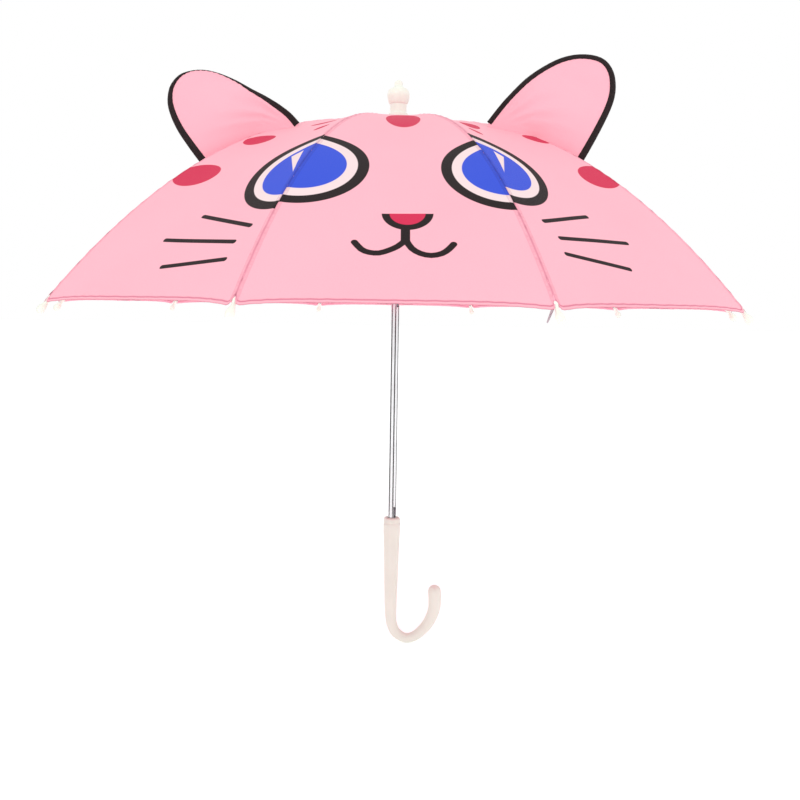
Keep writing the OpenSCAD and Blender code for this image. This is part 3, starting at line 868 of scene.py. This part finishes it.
def make_tips(plastic):
    """A moulded tip on every rib: a bead where the cloth is sewn on, a neck and a drop-shaped knob."""
    # Radius, and distance along the tip
    profile = spline([(0.0006, -0.0026), (0.0014, -0.0024), (0.0021, -0.0012), (0.0024, 0.0004),
                      (0.0021, 0.0019), (0.0017, 0.0030), (0.0016, 0.0042), (0.0017, 0.0056),
                      (0.0021, 0.0072), (0.0027, 0.0088), (0.0032, 0.0104), (0.0033, 0.0120),
                      (0.0030, 0.0136), (0.0023, 0.0148), (0.0013, 0.0155), (0.0003, 0.0157)], 2)
    rho = RIM_R - 0.0032
    down = 0.0024 / np.hypot(1, arc_slope(rho))
    start = np.array([rho + arc_slope(rho) * down, 0, arc_height(rho) - down])
    ahead = unit((1, 0, arc_slope(RIM_R)))
    raised = np.cross(ahead, Y_AXIS)
    rings = np.array([circle(start + ahead * along, r, Y_AXIS, raised, 24) for r, along in profile])
    for rib in range(RIBS):
        tip = new_tube(f"tip_knob_{rib}", turned(rings, rib_azimuth(rib)), plastic)
        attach(tip, f"rib_end_{rib}")
        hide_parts(f"tip_{rib}")


def make_ferrule(plastic):
    foot = APEX_Z + 0.0012
    # Radius, and height over the foot: a cap, a waist, a bulb and a nub
    outline = [(0.0094, 0.0), (0.0101, 0.0003), (0.0103, 0.0012), (0.0102, 0.0050), (0.0101, 0.0080),
               (0.0098, 0.0091), (0.0090, 0.0095), (0.0087, 0.0101), (0.0086, 0.0130), (0.0086, 0.0178),
               (0.0088, 0.0187), (0.0095, 0.0193), (0.0104, 0.0215), (0.0112, 0.0245), (0.0116, 0.0275),
               (0.0114, 0.0298), (0.0107, 0.0322), (0.0096, 0.0340), (0.0084, 0.0350), (0.0068, 0.0358),
               (0.0054, 0.0362), (0.0047, 0.0366), (0.0045, 0.0374), (0.0044, 0.0395), (0.0041, 0.0415),
               (0.0032, 0.0430), (0.0018, 0.0438), (0.0005, 0.0440)]
    profile = spline([(r, foot + z) for r, z in outline], 4)
    rings = [circle((0, 0, z), r, X_AXIS, Y_AXIS, 64) for r, z in profile]
    ferrule = new_tube("ferrule_knob", rings, plastic)
    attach(ferrule, "frame")
    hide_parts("ferrule")


# ---------------- other materials
TAPE_PITCH = 0.0008
TWIST_PITCH = 0.0012


def darkened(colour, share):
    return tuple(c * share for c in colour[:3]) + (1.0,)


def plastic_material(name, colour, rough):
    """Moulded plastic: faint clouds in its colour, fine grain, and upright scuffs."""
    n = Nodes(name)
    place = n.place()
    cloud = n.noise(place, 35.0, 3.0)
    grain = n.noise(place, 1400.0, 2.0)
    scuff = n.noise(n.vector("MULTIPLY", place, (1, 1, 0.2)), 260.0, 4.0, 0.7)
    tint = n.mix(n.ramp(cloud, 0.35, 0.7, 0.0, 0.5), colour, darkened(colour, 0.90))
    n.set(Base_Color=tint)
    n.set(Roughness=n.ramp(scuff, 0.35, 0.7, rough, rough + 0.14))
    n.set(Subsurface_Weight=0.05, Specular_IOR_Level=0.5, Coat_Weight=0.08)
    n.set(Subsurface_Radius=(0.004, 0.003, 0.002))
    n.bump(n.math("ADD", grain, n.math("MULTIPLY", scuff, 0.6)), 0.00004, 0.5)
    return n.material


def steel_material(name, colour, rough, streaks):
    """Drawn steel: fine lines along Z, the longer the smaller streaks is, and dull patches."""
    n = Nodes(name)
    place = n.place()
    drawn = n.noise(n.vector("MULTIPLY", place, (1, 1, streaks)), 900.0, 3.0, 0.6)
    dull = n.noise(place, 60.0, 4.0, 0.6)
    n.set(Base_Color=n.mix(n.ramp(dull, 0.4, 0.75, 0.0, 0.5), colour, darkened(colour, 0.72)))
    wear = n.math("ADD", n.math("MULTIPLY", drawn, 0.5), n.math("MULTIPLY", dull, 0.5))
    n.set(Roughness=n.ramp(wear, 0.3, 0.7, rough, rough + 0.12))
    n.set(Metallic=1.0)
    n.bump(drawn, 0.00003, 0.4)
    return n.material


def tape_material(name):
    """Black woven binding: a ribbed tape with a faint brown nap."""
    n = Nodes(name)
    place = n.place()
    x, _, z = n.split(place)
    rib = n.wave(n.math("ADD", x, z), TAPE_PITCH)
    rib_b = n.wave(n.math("SUBTRACT", x, z), TAPE_PITCH)
    nap = n.noise(place, 700.0, 3.0)
    n.set(Base_Color=n.mix(n.ramp(nap, 0.35, 0.7, 0.0, 1.0), linear(26, 20, 21), linear(50, 37, 38)))
    n.set(Roughness=n.ramp(nap, 0.3, 0.7, 0.7, 0.9))
    n.set(Specular_IOR_Level=0.25, Sheen_Weight=0.08, Sheen_Roughness=0.4)
    n.bump(n.math("ADD", n.math("MULTIPLY", rib, rib_b), nap), 0.00012, 0.6)
    return n.material


def elastic_material(name):
    """Thin lilac-grey elastic cord with a twisted cover."""
    n = Nodes(name)
    x, _, z = n.split(n.place())
    twist = n.wave(n.math("ADD", z, n.math("MULTIPLY", x, 0.8)), TWIST_PITCH)
    n.set(Base_Color=n.mix(n.ramp(twist, -1, 1), linear(176, 162, 170), linear(206, 194, 201)))
    n.set(Roughness=0.75, Specular_IOR_Level=0.3)
    n.bump(twist, 0.0001, 0.6)
    return n.material


def paint_nodes():
    """Gives every CAD node that stays in view its material."""
    chrome = steel_material("chrome_shaft", linear(228, 228, 230), 0.10, 0.02)
    nickel = steel_material("nickel_ribs", linear(176, 176, 180), 0.30, 0.3)
    wire = steel_material("bright_wire", linear(198, 198, 200), 0.25, 0.5)
    spring = steel_material("dark_spring", linear(120, 120, 126), 0.32, 0.2)
    cream = plastic_material("cream_moulding", linear(223, 226, 215), 0.30)
    pale = plastic_material("pale_moulding", linear(241, 244, 232), 0.30)
    white = plastic_material("white_moulding", linear(236, 234, 230), 0.36)
    choice = {"shaft": chrome, "crown_pin": wire, "crown_wire": wire, "runner_wire": wire, "top_stop": wire,
              "top_catch": spring, "bottom_catch": spring, "crown": white, "runner": white,
              "rib": nickel, "rib_end": nickel, "stretcher": nickel, "tip": pale}
    for name, node in frame["nodes"].items():
        kind = name if name in choice else name.rsplit("_", 1)[0]
        if kind in choice:
            node.data.materials.clear()
            node.data.materials.append(choice[kind])
    return cream, pale


# ---------------- studio
FLOOR_HALF = 14.0
FLAG_AWAY = 0.5
FLAG_HIGH = 0.55
FLAGS = ((-87, 0.19), (18, 0.15), (127, 0.17))  # degrees round from the front, and half the width


def make_stage():
    """A pale floor, lit enough to meet the white room without a line, and clear from underneath."""
    n = Nodes("pale_paper")
    grain = n.noise(n.place(), 40.0, 4.0)
    n.set(Base_Color=n.mix(grain, (0.93, 0.93, 0.93, 1), (0.90, 0.90, 0.90, 1)))
    n.set(Roughness=0.9, Specular_IOR_Level=0.1, Emission_Color=(1, 1, 1, 1), Emission_Strength=0.34)
    clear = n.node("ShaderNodeBsdfTransparent")
    under = n.node("ShaderNodeNewGeometry").outputs["Backfacing"]
    pick = n.node("ShaderNodeMixShader", {0: under, 1: n.shader.outputs[0], 2: clear.outputs[0]})
    n.put(n.tree.nodes["Material Output"].inputs["Surface"], pick.outputs[0])
    points = [(FLOOR_HALF * x, FLOOR_HALF * y, 0) for x, y in ((-1, -1), (1, -1), (1, 1), (-1, 1))]
    floor = new_object("floor", points, [(0, 1, 2, 3)], [n.material], shade_smooth=False)


def make_flags():
    """Grey cards beside the set that only reflections see: they draw the dark lines in the chrome."""
    n = Nodes("grey_card")
    n.set(Base_Color=(0.05, 0.05, 0.05, 1), Roughness=0.9, Specular_IOR_Level=0.0)
    top = np.array([0, 0, FLAG_HIGH])
    for k, (azimuth, half_w) in enumerate(FLAGS):
        a = math.radians(azimuth)
        centre = FLAG_AWAY * np.array([math.sin(a), -math.cos(a), 0])
        side = np.array([math.cos(a), math.sin(a), 0]) * half_w
        points = [centre - side, centre + side, centre + side + top, centre - side + top]
        card = new_object(f"flag_{k}", points, [(0, 1, 2, 3)], [n.material], shade_smooth=False)
        card.visible_camera = False
        card.visible_diffuse = False
        card.visible_shadow = False


def area_light(name, place, aim, size, power):
    """A round soft lamp that points at aim."""
    data = bpy.data.lights.new(name, "AREA")
    data.shape = "DISK"
    data.size = size
    data.energy = power
    lamp = bpy.data.objects.new(name, data)
    bpy.context.scene.collection.objects.link(lamp)
    lamp.location = place
    to = np.array(aim, float) - np.array(place, float)
    flat = math.hypot(to[0], to[1])
    lamp.rotation_euler = (math.atan2(flat, -to[2]), 0, math.atan2(-to[0], to[1]))


def make_light():
    world = bpy.data.worlds.new("studio")
    bpy.context.scene.world = world
    world.use_nodes = True
    background = world.node_tree.nodes["Background"]
    background.inputs["Color"].default_value = (1.0, 1.0, 1.0, 1.0)
    background.inputs["Strength"].default_value = 1.0
    aim = (0, 0, 0.42)
    area_light("key_light", (-1.0, -1.7, 1.9), aim, size=1.6, power=6)
    area_light("fill_light", (1.7, -1.3, 1.0), aim, size=1.6, power=3)
    bpy.context.scene.view_settings.view_transform = "Standard"


def make_camera():
    """Level with the rim, in front of the face, with the umbrella leaning a little to the left."""
    data = bpy.data.cameras.new("camera")
    data.sensor_width = 36
    data.lens = 39.4
    data.shift_x = 0.006
    data.shift_y = -0.1175
    camera = bpy.data.objects.new("camera", data)
    bpy.context.scene.collection.objects.link(camera)
    camera.location = (0, -0.912, RIM_Z)
    camera.rotation_euler = (math.pi / 2, math.radians(-0.9), 0)
    bpy.context.scene.camera = camera


make_camera()
make_light()
make_stage()
make_flags()
cream_plastic, pale_plastic = paint_nodes()
make_handle(cream_plastic)
make_ferrule(pale_plastic)
make_tips(pale_plastic)
make_canopy()
plain_cloth = bpy.data.materials["cloth_plain"]
binding = tape_material("ear_binding_tape")
make_ear(1, RIGHT_EAR, RIGHT_TAPE, 1, plain_cloth, binding)
make_ear(-1, LEFT_EAR, LEFT_TAPE, 8, plain_cloth, binding)
make_strap(plain_cloth, elastic_material("loop_elastic"))
